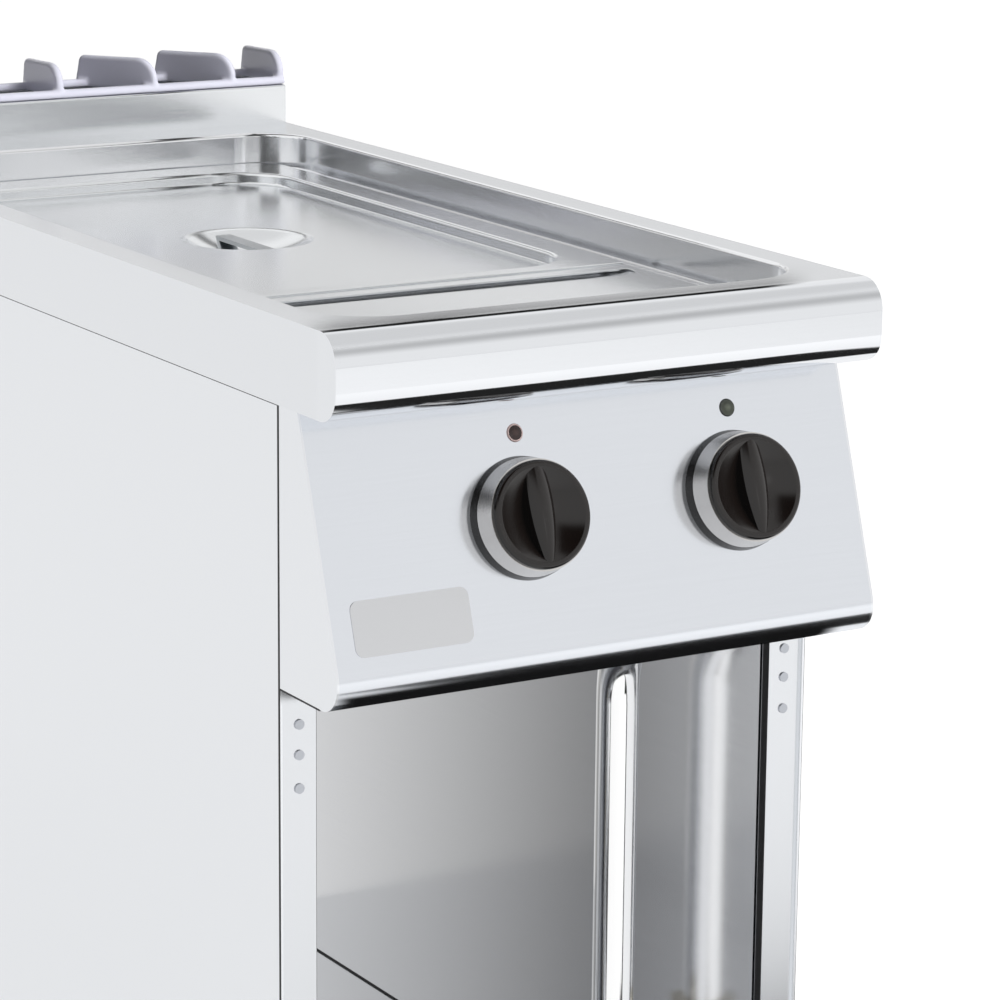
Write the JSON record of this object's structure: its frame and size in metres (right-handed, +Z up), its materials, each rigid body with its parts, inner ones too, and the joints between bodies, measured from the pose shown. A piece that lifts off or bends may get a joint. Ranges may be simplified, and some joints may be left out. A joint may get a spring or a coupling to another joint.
{
  "type": "bain-marie",
  "caption": "Free-standing electric bain-marie: stainless worktop with a full-size lidded well, sloping control panel and open cabinet with a drain.",
  "frame": {"origin": "on the floor, under the middle of the bounding box", "axes": "+X to the right of a person facing the control panel, +Y towards the back, +Z up"},
  "size_m": [0.4, 0.9078, 0.9078],
  "materials": {
    "worktop_steel": "satin",
    "well_steel": "polished",
    "lid_steel": "satin",
    "panel_steel": "satin",
    "side_steel": "satin",
    "cabinet_steel": "satin",
    "pipe_steel": "polished",
    "grille_enamel": "satin",
    "knob_black": "gloss",
    "knob_chrome": "polished",
    "bezel_dark": "gloss",
    "lens_red": "gloss",
    "lens_green": "gloss",
    "lamp_ring_red": "gloss",
    "lamp_ring_dark": "gloss",
    "badge_grey": "satin",
    "plug_grey": "matte",
    "valve_nickel": "nickel plated",
    "grip_black": "matte",
    "foot_plastic": "matte",
    "heater_dark": "oxidised",
    "insulation_grey": "matte",
    "control_plastic": "matte"
  },
  "bodies": {
    "unit": {"back_panel": "cabinet_steel", "badge_plate": "badge_grey", "base_rails": "cabinet_steel", "cabinet_floor": "cabinet_steel", "cable_gland": "grip_black", "control_panel": "panel_steel", "divider_bar": "worktop_steel", "drain_outlet": "pipe_steel", "drain_pipe": "pipe_steel", "drain_tail": "pipe_steel", "false_bottom": "well_steel", "flue_riser": "worktop_steel", "heat_shield": "cabinet_steel", "heater_clamps": "heater_dark", "heating_element": "heater_dark", "inner_back": "cabinet_steel", "inner_walls": "cabinet_steel", "insulation_mat": "insulation_grey", "knob_bezel_left": "bezel_dark", "knob_bezel_right": "bezel_dark", "lamp_holder_left": "lamp_ring_red", "lamp_holder_right": "lamp_ring_dark", "lamp_lens_left": "lens_red", "lamp_lens_right": "lens_green", "legs": "pipe_steel", "limit_thermostat": "heater_dark", "panel_end_caps": "panel_steel", "sensor_bulb": "heater_dark", "side_panel_left": "side_steel", "side_panel_right": "side_steel", "switch_body": "control_plastic", "terminal_box": "control_plastic", "thermostat_body": "control_plastic", "upright_front_left": "side_steel", "upright_front_right": "side_steel", "upright_plugs": "plug_grey", "upright_rear_left": "cabinet_steel", "upright_rear_right": "cabinet_steel", "valve_body": "valve_nickel", "well_rim": "well_steel", "well_tank": "well_steel", "worktop": "worktop_steel"},
    "pan": {"gn_pan": "lid_steel"},
    "lid": {"gn_lid": "lid_steel", "lid_handle": "lid_steel"},
    "front_cover": {"front_cover": "lid_steel"},
    "grille": {"flue_grille": "grille_enamel"},
    "knob_left": {"knob_cap_left": "knob_black", "knob_skirt_left": "knob_chrome", "spindle_left": "pipe_steel"},
    "knob_right": {"knob_cap_right": "knob_black", "knob_skirt_right": "knob_chrome", "spindle_right": "pipe_steel"},
    "valve_handle": {"valve_ball": "valve_nickel", "valve_lever": "valve_nickel", "lever_grip": "grip_black"},
    "foot_front_left": {"foot_front_left": "foot_plastic"},
    "foot_front_right": {"foot_front_right": "foot_plastic"},
    "foot_rear_left": {"foot_rear_left": "foot_plastic"},
    "foot_rear_right": {"foot_rear_right": "foot_plastic"}
  },
  "joints": [
    {"name": "pan_lift", "type": "slide", "parent": "unit", "child": "pan", "axis": [0, 0, 1], "range_m": [0, 0.2]},
    {"name": "lid_lift", "type": "slide", "parent": "pan", "child": "lid", "axis": [0, 0, 1], "range_m": [0, 0.15]},
    {"name": "cover_lift", "type": "slide", "parent": "unit", "child": "front_cover", "axis": [0, 0, 1], "range_m": [0, 0.12]},
    {"name": "grille_lift", "type": "slide", "parent": "unit", "child": "grille", "axis": [0, 0, 1], "range_m": [0, 0.08]},
    {"name": "thermostat_turn", "type": "hinge", "parent": "unit", "child": "knob_left", "pos_m": [-0.0525, -0.42117, 0.71689], "axis": [0, 0.9511, -0.309], "range_deg": [0, 300]},
    {"name": "switch_turn", "type": "hinge", "parent": "unit", "child": "knob_right", "pos_m": [0.107, -0.42117, 0.71689], "axis": [0, 0.9511, -0.309], "range_deg": [0, 90]},
    {"name": "drain_valve_turn", "type": "hinge", "parent": "unit", "child": "valve_handle", "pos_m": [0.138, -0.23408, 0.249], "axis": [0, 1, 0], "range_deg": [0, 90]},
    {"name": "foot_front_left_adjust", "type": "slide", "parent": "unit", "child": "foot_front_left", "axis": [0, 0, -1], "range_m": [0, 0.04]},
    {"name": "foot_front_right_adjust", "type": "slide", "parent": "unit", "child": "foot_front_right", "axis": [0, 0, -1], "range_m": [0, 0.04]},
    {"name": "foot_rear_left_adjust", "type": "slide", "parent": "unit", "child": "foot_rear_left", "axis": [0, 0, -1], "range_m": [0, 0.04]},
    {"name": "foot_rear_right_adjust", "type": "slide", "parent": "unit", "child": "foot_rear_right", "axis": [0, 0, -1], "range_m": [0, 0.04]}
  ]
}
